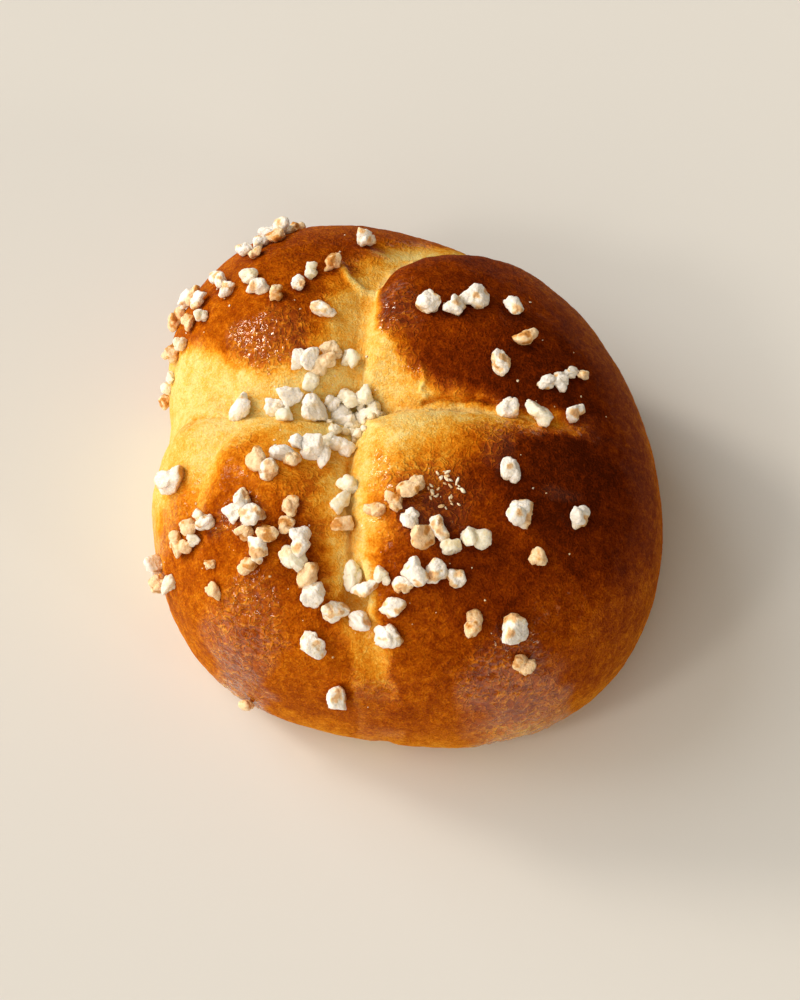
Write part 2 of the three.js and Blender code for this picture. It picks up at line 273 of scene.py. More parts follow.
# outward direction, from the slope over about 3 mm
def crustNormal(bearing, polar):
    step = 0.03
    side = step / np.maximum(np.sin(polar), step)
    down = crustPoint(bearing, polar + step) - crustPoint(bearing, polar - step)
    turn = crustPoint(bearing + side, polar) - crustPoint(bearing - side, polar)
    return unitLength(np.cross(down, turn))


# The solid was centred on its box. Its right and front edges carry no sugar, so the same
# shift follows from them.
beltSearch = {"bearings": 720, "polars": (1.2, 1.7, 40)}      # radians from, to, and steps
beltBearings = np.linspace(0, 2 * np.pi, beltSearch["bearings"], endpoint=False)
beltPoints = crustPoint(*np.meshgrid(beltBearings, np.linspace(*beltSearch["polars"])))
cadLow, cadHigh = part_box("bun")
shift = np.array([
    cadHigh.x * mmPerMetre - beltPoints[..., 0].max(),
    cadLow.y * mmPerMetre - beltPoints[..., 1].min(),
    0,
])
print("shift to the solid's origin, mm:", shift.round(2))


# Where the sugar lies, in straight trails, as on the solid: the two ends in degrees (bearing,
# angle down from the top), degrees that the nibs spread on both sides, their size, and one
# letter for each nib: w white, t toasted, c clear, capitals for big ones.
sugarTrails = [
    # the rear left lobe's crest, and down its left side
    ((112, 75), (127, 66), 3, 4.0, "twWwtwwt"), ((111, 53), (132, 49), 1, 4.3, "tcwt"),
    ((134, 54), (142, 80), 3, 4.1, "wcwWwtwt"), ((146, 65), (160, 86), 2, 3.6, "ctctcct"),
    ((99, 61), (124, 41), 0, 5.3, "ww"),
    # the heap where the clefts meet, and what rolled into the front cleft
    ((148, 36), (127, 30), 2, 4.6, "Wttc"), ((173, 43), (136, 13), 7, 4.3, "wcwWcwWccwCc"),
    ((-155, 43), (-147, 26), 4, 4.4, "twwtwwwcw"), ((-124, 33), (-115, 43), 1, 4.6, "cct"),
    # the front left lobe
    ((174, 51), (-167, 67), 0, 5.2, "wW"), ((-149, 60), (-154, 70), 3, 4.0, "wcctTt"),
    ((-156, 84), (-148, 80), 2, 4.4, "wtc"), ((-141, 65), (-137, 68), 0, 3.0, "tT"),
    ((-147, 50), (-130, 57), 4, 4.8, "wwWttwt"), ((-134, 44), (-119, 56), 2, 4.4, "ttWct"),
    ((-114, 59), (-101, 63), 1, 5.4, "www"), ((-110, 68), (-103, 79), 0, 6.0, "ww"),
    ((-123, 97), (-123, 97), 0, 3.2, "t"),
    # across the front cleft, and the front right lobe
    ((-104, 54), (-73, 51), 2, 4.7, "cwcwWww"), ((-85, 37), (-67, 47), 3, 4.6, "wtwcC"),
    ((-100, 36), (-82, 30), 1, 4.1, "ttT"), ((-91, 57), (-92, 63), 0, 5.3, "ww"),
    ((-63, 72), (-70, 60), 4, 4.7, "tWt"), ((-37, 38), (-51, 55), 1, 5.1, "wwt"),
    ((-33, 55), (-33, 55), 0, 4.9, "w"),
    # the rear right lobe, and along the right cleft
    ((74, 34), (57, 41), 3, 5.1, "www"), ((26, 34), (42, 47), 5, 5.1, "wtw"),
    ((13, 45), (16, 54), 1, 3.6, "wwwt"), ((3, 36), (-1, 51), 3, 5.0, "wcw"),
]
nib = {
    "big": 1.28, "unevenSize": 0.12, "unevenLength": 0.2, "sides": (1.05, 0.92, 0.8),
    "lift": 0.24, "tilt": 0.6,
    # how many random draws are kept for each nib, and which of them these take
    "drawsKept": 16, "sizeDraw": 0, "lengthDraw": 13, "turnDraw": 14, "tiltDraw": 15,
}
goldenStep = (math.sqrt(5) - 1) / 2


# Nibs at even steps along a trail. Steps of the golden ratio, with the whole turns left out,
# spread them over its width.
def sugarPlaces():
    rows = []
    for start, end, width, size, letters in sugarTrails:
        order = np.arange(len(letters))
        first, last = (rayTowards(*np.radians(place)) for place in (start, end))
        places = unitLength(first + np.outer(order / max(len(letters) - 1, 1), last - first))
        left = unitLength(np.cross(places, last - first))
        side = 2 * ((0.5 + order * goldenStep) % 1) - 1
        bearing, polar = directionOf(places + left * (math.radians(width) * side)[:, None])
        number = nib["drawsKept"] * (len(rows) + order)
        grow = np.where([letter.isupper() for letter in letters], nib["big"], 1)
        sizes = size * grow * (1 + nib["unevenSize"] * drawBothWays(number + nib["sizeDraw"]))
        kinds = ["wtc".index(letter.lower()) for letter in letters]
        rows.extend(np.stack([bearing, polar, sizes, kinds, number], -1))
    return np.array(rows)


sugar = sugarPlaces()
sugarNormals = crustNormal(sugar[:, 0], sugar[:, 1])
sugarCentres = crustPoint(sugar[:, 0], sugar[:, 1]) + sugarNormals * (nib["lift"] * sugar[:, 2:3])
print("sugar nibs placed:", len(sugar))


# a new object that shows in the scene
def addObject(name, data):
    thing = bpy.data.objects.new(name, data)
    bpy.context.scene.collection.objects.link(thing)
    return thing


# one mesh object from arrays, scaled to metres, with its place in its vertices
def makePiece(name, points, quads, triangles, material, attributes):
    mesh = bpy.data.meshes.new(name)
    loops = np.concatenate([quads.ravel(), triangles.ravel()]).astype(np.int32)
    sizes = np.concatenate([np.full(len(quads), 4), np.full(len(triangles), 3)]).astype(np.int32)
    starts = np.concatenate([[0], np.cumsum(sizes)[:-1]]).astype(np.int32)
    mesh.vertices.add(len(points))
    mesh.vertices.foreach_set("co", ((points + shift) * metresPerMm).astype(np.float32).ravel())
    mesh.loops.add(len(loops))
    mesh.loops.foreach_set("vertex_index", loops)
    mesh.polygons.add(len(sizes))
    mesh.polygons.foreach_set("loop_start", starts)
    mesh.polygons.foreach_set("use_smooth", np.ones(len(sizes), bool))
    mesh.update(calc_edges=True)
    mesh.validate()
    for label, values in attributes.items():
        layer = mesh.attributes.new(label, "FLOAT", "POINT")
        layer.data.foreach_set("value", np.asarray(values, np.float32).ravel())
    mesh.materials.append(material)
    piece = addObject(name, mesh)
    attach(piece, "root")
    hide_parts("bun")
    print(f"  {name}: {len(points)} points, {2 * len(quads) + len(triangles)} triangles")


def newMaterial(name):
    material = bpy.data.materials.new(name)
    material.use_nodes = True
    return material, material.node_tree, material.node_tree.nodes["Principled BSDF"]


# sets a node's inputs: each one to a value, or linked to another node's socket
def setInputs(tree, node, values):
    for key, value in values.items():
        if isinstance(value, bpy.types.NodeSocket):
            tree.links.new(value, node.inputs[key])
        else:
            node.inputs[key].default_value = value


def addNode(tree, kind, inputs, **settings):
    node = tree.nodes.new("ShaderNode" + kind)
    for key, value in settings.items():
        setattr(node, key, value)
    setInputs(tree, node, inputs)
    return node


def addMath(tree, operation, *inputs, clamp=False):
    node = addNode(tree, "Math", dict(enumerate(inputs)), operation=operation, use_clamp=clamp)
    return node.outputs[0]


# noise whose blobs are about sizeMm across
def addNoise(tree, vector, sizeMm, detail, rough=0.5, output="Fac"):
    node = addNode(tree, "TexNoise", {
        "Vector": vector, "Scale": mmPerMetre / sizeMm, "Detail": detail, "Roughness": rough,
    })
    return node.outputs[output]


def addRamp(tree, value, stops):
    node = addNode(tree, "ValToRGB", {"Fac": value})
    ramp = node.color_ramp
    while len(ramp.elements) < len(stops):
        ramp.elements.new(0.5)
    for element, (position, colour) in zip(ramp.elements, stops):
        element.position = position
        element.color = (*colour, 1)
    return node.outputs["Color"]


# straight-line remapping, clamped at both ends
def addSpread(tree, value, fromLow, fromHigh, toLow, toHigh):
    node = addNode(tree, "MapRange", {
        "Value": value, "From Min": fromLow, "From Max": fromHigh, "To Min": toLow, "To Max": toHigh,
    })
    return node.outputs["Result"]


# winding lines: noise read at places that coarser noise has moved, 1 where it passes
# through one half and 0 away from there
def addLines(tree, vector, sizeMm, warpSizeMm, warpMm, halfWidth):
    detail = 1.0
    middle = 0.5
    warp = addNoise(tree, vector, warpSizeMm, detail, output="Color")
    inputs = {0: warp, 1: (middle,) * 3}
    centred = addNode(tree, "VectorMath", inputs, operation="SUBTRACT")
    inputs = {0: centred.outputs[0], 1: (2 * warpMm * metresPerMm,) * 3, 2: vector}
    moved = addNode(tree, "VectorMath", inputs, operation="MULTIPLY_ADD")
    noise = addNoise(tree, moved.outputs[0], sizeMm, detail)
    away = addMath(tree, "ABSOLUTE", addMath(tree, "SUBTRACT", noise, middle))
    return addSpread(tree, away, 0.0, halfWidth, 1.0, 0.0)


def addBump(tree, height, look):
    return addNode(tree, "Bump", {"Height": height, **look}).outputs["Normal"]


# a value that the mesh holds for each of its points
def attributeOf(tree, name):
    return addNode(tree, "Attribute", {}, attribute_name=name).outputs["Fac"]


def objectPlace(tree):
    return addNode(tree, "TexCoord", {}).outputs["Object"]


noiseRange = (0.3, 0.7)      # nearly all of a noise's values lie between these

crustLook = {
    # from the palest dough in a cleft to the darkest cap
    "bakeColours": [
        (0.00, (0.88, 0.69, 0.26)), (0.14, (0.88, 0.52, 0.10)), (0.28, (0.81, 0.345, 0.025)),
        (0.42, (0.66, 0.200, 0.007)), (0.57, (0.43, 0.095, 0.002)), (0.72, (0.25, 0.040, 0.001)),
        (0.86, (0.15, 0.019, 0.0008)), (1.00, (0.07, 0.009, 0.0006)),
    ],
    "crumbColour": (0.80, 0.52, 0.16),
    "shader": {
        "Specular IOR Level": 0.0, "Coat Roughness": 0.13, "Subsurface Weight": 0.10,
        "Subsurface Scale": 0.0016, "Subsurface Radius": (1.0, 0.45, 0.15),
    },
    # noise: blob size in millimetres, detail and roughness, how far it shifts the bake up and
    # down, and its share of the relief
    "clouds": {"noise": (6.5, 3, 0.5), "shift": 0.05},
    "mottles": {"noise": (1.7, 4, 0.62), "shift": 0.09, "height": 1.0},
    "grain": {"noise": (0.4, 2, 0.5), "shift": 0.07, "height": 0.7},
    # winding lines: size, size and amount of their warp in millimetres, and half width
    # the threads' paler colour is partly the crust's pale fibres and partly painted sheen, for the glints
    # on the crinkled glaze
    "threads": {"lines": (1.5, 2.4, 1.4, 0.09), "shift": -0.20, "height": 1.5},
    "felt": {"lines": (0.8, 1.5, 0.8, 0.08), "shift": -0.08, "height": 0.4},
    # remappings: from two values of the bake or the crinkle to two of the result
    "threadsByCrinkle": (0.0, 0.7, 0.35, 1.0), "threadsByBake": (0.12, 0.5, 0.2, 1.0),
    "feltByBake": (0.1, 0.6, 1.0, 0.25), "roughnessByBake": (0.15, 0.7, 0.62, 0.45),
    "coatByBake": (0.15, 0.6, 0.01, 0.06), "ripplesByCrinkle": (0.0, 0.6, 0.3, 1.0),
    "coatOnCrinkles": 1.1,
    "ripples": (1.1, 1.2, 0.4),
    # how strong each bump is, and its height in metres
    "relief": {"Strength": 0.9, "Distance": 0.00026},
    "glaze": {"Strength": 1.0, "Distance": 0.00042},
}


def makeCrustMaterial():
    material, tree, shader = newMaterial("baked_crust")
    place = objectPlace(tree)
    bake, crinkle, crumb = (attributeOf(tree, name) for name in ("bake", "crinkle", "crumb"))

    def scaled(value, factor):
        return addMath(tree, "MULTIPLY", value, factor)

    def plus(first, second):
        return addMath(tree, "ADD", first, second)

    def remapped(value, key):
        return addSpread(tree, value, *crustLook[key])

    # clouds, mottles and grain shift the bake up and down, and the winding lines are paler: on the felt
    # that is the dough's own fibre, on the threads partly fibre and partly painted sheen
    names = ("clouds", "mottles", "grain")
    blobs = {name: addNoise(tree, place, *crustLook[name]["noise"]) for name in names}
    threads, felt = (addLines(tree, place, *crustLook[name]["lines"]) for name in ("threads", "felt"))
    # the threads follow the crinkled, glinting glaze: their paleness is partly painted sheen
    threadShare = scaled(remapped(crinkle, "threadsByCrinkle"), remapped(bake, "threadsByBake"))
    lines = {
        "threads": scaled(threads, threadShare),
        "felt": scaled(felt, remapped(bake, "feltByBake")),
    }
    mottled = bake
    for name, blob in blobs.items():
        most = crustLook[name]["shift"]
        mottled = plus(mottled, addSpread(tree, blob, *noiseRange, -most, most))
    for name, line in lines.items():
        mottled = plus(mottled, scaled(line, crustLook[name]["shift"]))
    # a Mix node's inputs 0, 6 and 7 are its share and its two colours
    colours = {
        0: crumb,
        6: addRamp(tree, mottled, crustLook["bakeColours"]),
        7: (*crustLook["crumbColour"], 1),
    }
    mix = addNode(tree, "Mix", colours, data_type="RGBA")
    # relief finer than the mesh
    relief = reduce(plus, [
        scaled(layer, crustLook[name]["height"])
        for name, layer in {**lines, **blobs}.items() if "height" in crustLook[name]
    ])
    # the glaze lies over the fine relief in smooth ripples, so that it glitters
    ripples = addNoise(tree, place, *crustLook["ripples"])
    ripples = scaled(ripples, remapped(crinkle, "ripplesByCrinkle"))
    # pale dough is dull, brown egg wash shines, most of all where it crinkled
    coat = plus(remapped(mottled, "coatByBake"), scaled(crinkle, crustLook["coatOnCrinkles"]))
    setInputs(tree, shader, {
        **crustLook["shader"],
        "Base Color": mix.outputs[2],
        "Roughness": remapped(mottled, "roughnessByBake"),
        "Coat Weight": coat,
        "Normal": addBump(tree, relief, crustLook["relief"]),
        "Coat Normal": addBump(tree, ripples, crustLook["glaze"]),
    })
    return material


# In these, a noise is given by its amount, size and seed, and lengths are in millimetres.
crust = {
    "cells": 306,                      # the grid has this many cells along each side
    "ringSpacing": (0.82, 0.18),       # rings lie closer together on top than lower down
    "underRings": 2, "underside": {"bake": 0.5, "crinkle": 0, "crumb": 0},
    "lumps": [(0.40, 17, 40), (0.20, 6.5, 41), (0.07, 2.4, 42)],
    # ridges: size, size and amount of their warp, sharpness and seed
    "wrinkles": {
        "ridges": (1.9, 3.0, 1.1, 2.4, 50), "height": 0.26, "level": 0.3,
        # paler on the wrinkles' ridges and darker between them: partly the stretched skin's own tone,
        # partly painted highlight and painted shade
        "paler": 0.10, "palerAbove": 0.4,
    },
    "skin": {"ridges": (1.5, 2.4, 0.9, 2.0, 55), "height": 0.07},
    "crumbRough": [(0.5, 1.5, 61), (0.3, 0.8, 62)],
    "seat": {"depth": 0.25, "reach": 1.2, "nibShare": 0.42, "darker": 0.08, "onBrown": (0.3, 0.6)},
    "reliefLevels": (0.2, 3),          # no relief up to one height, all of it from the other
    "palest": 0.03,
}

# How brown the crust baked, from 0 to 1, except the pale entry, which is painted light. The top and the
# sides have an even part, what the right adds to it and what the rear adds. Bearings and angles down from
# the top are in radians.
browning = {
    "top": (0.77, 0.15, 0.02), "sides": (0.64, 0.06, 0.02), "topToSides": (0.85, 1.4),
    "dark": {"amount": 0.14, "bearing": -0.5, "width": 0.7, "polar": 1.0, "height": 0.35},
    # pale: the shaded side low on the right is made paler, painted light standing in for light thrown up
    # from the floor
    "pale": {"amount": -0.16, "bearing": 0.5, "width": 0.5, "polars": (0.8, 1.2)},
    "rim": {"bake": 0.35, "levels": (2, 22), "rightRise": 14, "wander": [(2.5, 9, 25)]},
    "clouds": [(0.045, 20, 23), (0.045, 7, 24)],
    # how ragged the edge between dough and cap is: a share of its width, and some more
    "edge": {"ragged": [(0.6, 5, 21), (0.4, 2.0, 22)], "widthShare": 0.22, "more": 0.3, "most": 1.8},
    "streaks": {"along": 1.1, "across": 4.5, "seed": 28, "cleftStep": 7.0, "share": 0.5},
    "doughWander": [(0.03, 4, 26)],
    "pit": {"bake": 0.07, "reach": (5, 12), "wander": 2},
}

# where the glazed skin crinkled: x, y and radii in plan
crinkledPatches = [
    (-26, 16, 10, 8.5), (-1, 22, 6, 8), (5, -20, 10, 9), (-29, -40, 8, 8), (-30, -22, 6, 4),
    (22, -50, 11, 7), (19, -11, 4, 5), (31, -18, 4, 2),
]
crinkles = {
    "patchEdge": (0.45, 1.15), "patchWander": [(0.3, 4, 31)], "onBrown": (0.2, 0.7),
    "doughBake": 0.12, "leastRise": 0.1,
    "edgeShare": 0.5, "edgeGaps": (-0.5, 0.6), "edgeNoise": (5, 32),      # gaps, then size and seed
}

# torn places and creases in plan: what it is, its points, half width, height, and how much
# paler (below 0) or darker it is than round it; the darker crack and front crease are painted shade
reliefLines = [
    ("ridge", ((-12.5, 37), (-10.6, 33.6), (-7.5, 31.6), (-4.6, 31.0)), 0.8, 0.7, -0.30),     # arch
    # painted shade: the crack is darker in its gap
    ("groove", ((6.0, 2.9), (9.5, 3.1), (13, 2.6), (17, 2.7), (21, 2.2)), 0.5, -1.3, 0.16),   # crack
    ("ridge", ((4.6, 9.6), (5.6, 7.2), (5.0, 5.2), (6.4, 3.9)), 0.55, 0.5, -0.16),      # glaze's edge
    ("ridge", ((-6.2, -34), (-5.4, -38), (-4.9, -42)), 1.0, 0.6, -0.22),      # pocket's lip
    # painted shade: the front crease is a little darker
    ("groove", ((-11.8, -12), (-11.2, -20), (-10.4, -27), (-9.6, -33)), 0.5, -0.8, 0.05),   # front crease
    ("groove", ((-5.2, -44), (-4.3, -47.5), (-2.6, -51)), 1.6, -0.6, -0.05),      # furrow
]

# hollows and blisters in plan: x, y, radii, height, browning; the pocket's darker colour is painted shade
reliefSpots = [
    # painted shade: the pocket is darker inside
    (-8.9, -39.6, 2.2, 2.9, -3.2, 0.05),          # pocket in the front cleft
    (-0.5, 44.5, 5.0, 2.6, -1.0, -0.22),          # hollow behind the arch
    (5.0, 46.5, 4.0, 2.0, -0.7, -0.20),
    (-42.6, 1.5, 2.6, 3.4, 0.3, 0.13),            # golden spot on the fold
    (-42.2, 3.4, 0.5, 0.6, -0.7, 0.12), (-40.8, 3.9, 0.7, 0.5, -0.8, 0.14),
    (-41.8, 1.9, 0.4, 0.5, -0.5, 0.1),
]
reliefWander = [(0.35, 1.6, 35), (0.2, 0.8, 36)]
bellPowers = {"ridge": 3, "groove": 2, "spot": 3}      # a higher one makes a flatter top

# torn crumb on the cleft floors: which cleft, from and to along it, and its half width
crumbBands = [("right", 12, 28, 1.0), ("rear", 32, 42, 0.5), ("front", 22, 34, 0.6)]
crumbEdge = {"fadeIn": 3, "fadeOut": 5, "ragged": [(0.7, 1.8, 33)], "soft": (0.7, 1.2), "aside": 0.6}


# concentric map of a square grid: each square ring becomes a round ring, so there is no pole
def squareToDisc(count):
    a, b = np.meshgrid(np.linspace(-1, 1, count + 1), np.linspace(-1, 1, count + 1), indexing="ij")
    wide = np.abs(a) > np.abs(b)
    reach = np.where(wide, a, b)
    safe = np.where(reach == 0, 1, reach)
    angle = np.where(wide, np.pi / 4 * b / safe, np.pi / 2 - np.pi / 4 * a / safe)
    return angle + np.where(reach < 0, np.pi, 0), np.abs(reach)


# shortest distance in plan from each place to a line through a few points
def lineDistance(x, y, line):
    nearest = np.full(x.shape, np.inf)
    for (ax, ay), (bx, by) in zip(line[:-1], line[1:]):
        dx, dy = bx - ax, by - ay
        share = np.clip(((x - ax) * dx + (y - ay) * dy) / (dx * dx + dy * dy), 0, 1)
        nearest = np.minimum(nearest, np.hypot(x - ax - share * dx, y - ay - share * dy))
    return nearest


# the unsnipped crust: dark on top and on the right, paler down the slopes, golden at the floor,
# with a few large clouds; the paler patch low on the right is painted light
def capBake(points, bearing, polar):
    right, rear = np.cos(bearing), np.sin(bearing)
    top, sides = (
        even + byRight * right + byRear * rear
        for even, byRight, byRear in (browning["top"], browning["sides"])
    )
    cap = partWay((top, sides), smoothStep(*browning["topToSides"], polar))
    dark, pale, rim = browning["dark"], browning["pale"], browning["rim"]
    across, down = (bearing - dark["bearing"]) / dark["width"], (polar - dark["polar"]) / dark["height"]
    cap += dark["amount"] * np.exp(-across ** 2 - down ** 2)
    # painted light: paler on the shaded right side, for light thrown up from the floor
    across = (bearing - pale["bearing"]) / pale["width"]
    cap += pale["amount"] * np.exp(-across ** 2) * smoothStep(*pale["polars"], polar)
    level = points[..., 2] + layeredNoise(points, rim["wander"])
    low, high = rim["levels"]
    risen = smoothStep(low, high + rim["rightRise"] * np.maximum(right, 0), level)
    return partWay((rim["bake"], cap), risen) + layeredNoise(points, browning["clouds"])


# the cap's browning, held back near each cleft: pale dough up to one distance, then rising
# evenly to the cap's value at another, with streaks that run across the cleft
def bakedAmount(points, x, y, bearing, polar):
    cap = capBake(points, bearing, polar)
    edge, streaks, pit = browning["edge"], browning["streaks"], browning["pit"]
    ragged = layeredNoise(points, edge["ragged"])
    doughWander = layeredNoise(points, browning["doughWander"])
    bake = cap
    for index, cleft in enumerate(clefts.values()):
        along, across = cleftPlace(cleft, x, y)
        onLeft = across > 0
        pale, brown = (
            np.where(onLeft, *(np.interp(along, cleft["along"], side) for side in cleft[key]))
            for key in ("pale", "brown")
        )
        layer = np.full_like(x, streaks["cleftStep"] * index)
        lanes = np.stack([along / streaks["along"], across / streaks["across"], layer], -1)
        streak = softNoise(lanes, 1, streaks["seed"])
        reach = np.clip(edge["widthShare"] * (brown - pale) + edge["more"], 0, edge["most"])
        distance = np.hypot(np.minimum(along, 0), across)
        distance += (ragged + streaks["share"] * streak) * reach
        dough = np.where(onLeft, *cleft["dough"]) + doughWander
        rise = np.clip((distance - pale) / (brown - pale), 0, 1)
        rise = np.maximum(rise, smoothStep(*cleft["paleEnd"], along))
        bake = np.minimum(bake, partWay((dough, cap), rise))
    fromCross = np.hypot(x - bun["cross"][0], y - bun["cross"][1]) + pit["wander"] * ragged
    return partWay((pit["bake"], bake), smoothStep(*pit["reach"], fromCross)), cap


# 1 where the skin is pulled into wrinkles: in the patches, and where a cap meets pale dough,
# as a parabola that is 1 half-way between their browns
def crinkledShare(points, x, y, bake, cap):
    wander = layeredNoise(points, crinkles["patchWander"])
    patches = np.zeros_like(bake)
    for atX, atY, reachX, reachY in crinkledPatches:
        distance = np.hypot((x - atX) / reachX, (y - atY) / reachY)
        patches = np.maximum(patches, 1 - smoothStep(*crinkles["patchEdge"], distance + wander))
    dough = crinkles["doughBake"]
    risen = np.clip((bake - dough) / np.maximum(cap - dough, crinkles["leastRise"]), 0, 1)
    gaps = smoothStep(*crinkles["edgeGaps"], softNoise(points, *crinkles["edgeNoise"]))
    edge = 4 * risen * (1 - risen) * gaps
    return np.clip(patches * smoothStep(*crinkles["onBrown"], risen) + crinkles["edgeShare"] * edge, 0, 1)


# torn crumb on the floors of three clefts: 1 in a ragged band along the middle line
def crumbShare(points, x, y):
    crumb = np.zeros(x.shape)
    wander = 1 + layeredNoise(points, crumbEdge["ragged"])
    inner, outer = crumbEdge["soft"]
    for name, start, end, halfWidth in crumbBands:
        along, across = cleftPlace(clefts[name], x, y)
        band = smoothStep(start - crumbEdge["fadeIn"], start, along)
        band = band * (1 - smoothStep(end, end + crumbEdge["fadeOut"], along))
        ragged = halfWidth * wander
        away = smoothStep(ragged * inner, ragged * outer, np.abs(across + crumbEdge["aside"]))
        crumb = np.maximum(crumb, band * (1 - away))
    return crumb


# ridges, creases, hollows and blisters: bell curves over the distance to each; the darkening in the
# crack, the front crease and the pocket is painted shade
def tornRelief(points, x, y):
    wander = layeredNoise(points, reliefWander)
    bells = []
    for kind, line, halfWidth, rise, brown in reliefLines:
        distance = lineDistance(x + wander, y - wander, line) / halfWidth
        bells.append((np.exp(-distance ** bellPowers[kind]), rise, brown))
    for atX, atY, reachX, reachY, rise, brown in reliefSpots:
        distance = np.hypot((x - atX + wander) / reachX, (y - atY - wander) / reachY)
        bells.append((np.exp(-distance ** bellPowers["spot"]), rise, brown))
    return sum(bell * rise for bell, rise, _ in bells), sum(bell * brown for bell, _, brown in bells)


# outward directions of a grid of points, square to both grid directions
def gridNormals(points):
    down, side = np.gradient(points, axis=(0, 1))
    normals = unitLength(np.cross(down, side))
    return normals * np.sign(np.sum(normals * (points - [0, 0, bun["beltHeight"]]), -1, keepdims=True))


# the four corners of each cell of a square grid that has so many points along each side
def gridQuads(side):
    index = np.arange(side * side).reshape(side, side)
    quads = np.stack([index[:-1, :-1], index[1:, :-1], index[1:, 1:], index[:-1, 1:]], -1)
    return index, quads.reshape(-1, 4)


# every crust point with its bake, crinkle and crumb; all relief is added along the normals
def crustFields():
    bearing, ring = squareToDisc(crust["cells"])
    atTop, growth = crust["ringSpacing"]
    polar = floorPolar(bearing) * ring * (atTop + growth * ring)
    points = crustPoint(bearing, polar)
    ray, dome = rayTowards(bearing, polar), domeRadius(bearing, polar)
    x, y = dome * ray[..., 0], dome * ray[..., 1]
    bake, cap = bakedAmount(points, x, y, bearing, polar)
    height, darker = tornRelief(points, x, y)
    bake = np.clip(bake + darker, crust["palest"], 1)
    crinkle = crinkledShare(points, x, y, bake, cap)
    crumb = crumbShare(points, x, y)
    wrinkles, skin, seat = crust["wrinkles"], crust["skin"], crust["seat"]
    folds = windingRidges(points, *wrinkles["ridges"])
    height += layeredNoise(points, crust["lumps"])
    height += wrinkles["height"] * crinkle * (folds - wrinkles["level"])
    height += skin["height"] * windingRidges(points, *skin["ridges"])
    height += crumb * layeredNoise(points, crust["crumbRough"])
    # paler on the wrinkles' ridges and darker in their hollows: partly the skin's own tone, partly
    # painted highlight and painted shade
    bake = bake - wrinkles["paler"] * crinkle * (folds - wrinkles["palerAbove"])
    # each nib sits in a shallow seat, and on brown crust the colour is a little darker in a ring round it
    seated = np.zeros_like(bake)
    for centre, size in zip(sugarCentres, sugar[:, 2]):
        distance = np.linalg.norm(points - centre, axis=-1) - size * seat["nibShare"]
        seated = np.maximum(seated, 1 - smoothStep(0, seat["reach"], distance))
    height = (height - seat["depth"] * seated) * smoothStep(*crust["reliefLevels"], points[..., 2])
    bake = np.clip(bake + seat["darker"] * seated * smoothStep(*seat["onBrown"], bake), 0, 1)
    points += gridNormals(points) * height[..., None]
    points[..., 2] = np.maximum(points[..., 2], 0)
    return points, {"bake": bake, "crinkle": crinkle, "crumb": crumb}


# the crust's grid, closed below by rings and a fan
def makeCrust():
    points, fields = crustFields()
    index, quads = gridQuads(crust["cells"] + 1)
    # the floor ring, once round the grid's border, then rings shrinking to the middle
    border = np.concatenate([index[:-1, 0], index[-1, :-1], index[:0:-1, -1], index[0, :0:-1]])
    flat = points.reshape(-1, 3)
    shares = np.linspace(1, 0, crust["underRings"] + 2)[1:-1]
    rings = [flat[border] * [share, share, 0] for share in shares]
    allPoints = np.concatenate([flat, *rings, [[0, 0, 0]]])
    count = len(border)
    ids = [border] + [len(flat) + ring * count + np.arange(count) for ring in range(len(rings))]
    under = np.concatenate([
        np.stack([outer, np.roll(outer, -1), np.roll(inner, -1), inner], -1)
        for outer, inner in zip(ids[:-1], ids[1:])
    ])
    fan = np.stack([ids[-1], np.roll(ids[-1], -1), np.full(count, len(allPoints) - 1)], -1)
    extra = len(allPoints) - len(flat)
    attributes = {
        name: np.concatenate([values.ravel(), np.full(extra, crust["underside"][name])])
        for name, values in fields.items()
    }
    # turn every face outwards
    corner = flat[quads[0]]
    facing = np.cross(corner[1] - corner[0], corner[2] - corner[0])
    if np.dot(facing, corner[0] - [0, 0, bun["beltHeight"]]) < 0:
        quads = quads[:, ::-1]
    corner = allPoints[under[0]]
    if np.cross(corner[1] - corner[0], corner[2] - corner[0])[2] > 0:
        under, fan = under[:, ::-1], fan[:, ::-1]
    allQuads = np.concatenate([quads, under])
    makePiece("crust", allPoints, allQuads, fan, makeCrustMaterial(), attributes)


makeCrust()
print("crust made")


# colours run from clean to toasted, crystals are in millimetres, and the surface is its
# roughness, the share and reach in metres of the light that it lets in, and its coat
sugarLook = {
    "white_sugar": {
        "colours": [(0.0, (0.99, 0.96, 0.91)), (0.5, (0.93, 0.72, 0.47)), (1.0, (0.70, 0.38, 0.13))],
        "crystals": 0.55, "surface": (0.6, 0.6, 0.0010, 0.03),
    },
    "toasted_sugar": {
        "colours": [(0.0, (0.95, 0.78, 0.56)), (0.5, (0.86, 0.55, 0.26)), (1.0, (0.60, 0.27, 0.06))],
        "crystals": 0.55, "surface": (0.5, 0.6, 0.0010, 0.10),
    },
    "clear_sugar": {
        "colours": [(0.0, (0.98, 0.92, 0.78)), (0.5, (0.94, 0.77, 0.50)), (1.0, (0.80, 0.50, 0.18))],
        "crystals": 0.8, "surface": (0.35, 0.8, 0.0014, 0.2),
    },
    # small bits let no light through, or they would turn grey
    "small_sugar": {
        "colours": [(0.0, (0.99, 0.94, 0.80)), (0.5, (0.96, 0.82, 0.56)), (1.0, (0.84, 0.56, 0.28))],
        "crystals": 0.5, "surface": (0.5, 0.0, 0.0004, 0.1),
    },
}
# the same for all the sugar: blob size in millimetres, detail and roughness of its noises
sugarFinish = {
    "toastGrain": (0.6, 3, 0.6), "toastShift": 0.12, "rough": (0.5, 3, 0.65),
    "shader": {
        "Specular IOR Level": 0.25, "Coat Roughness": 0.15, "Subsurface Radius": (1.0, 0.95, 0.85),
    },
    "surfaceInputs": ("Roughness", "Subsurface Weight", "Subsurface Scale", "Coat Weight"),
    "relief": {"Strength": 0.7, "Distance": 0.00026},
}


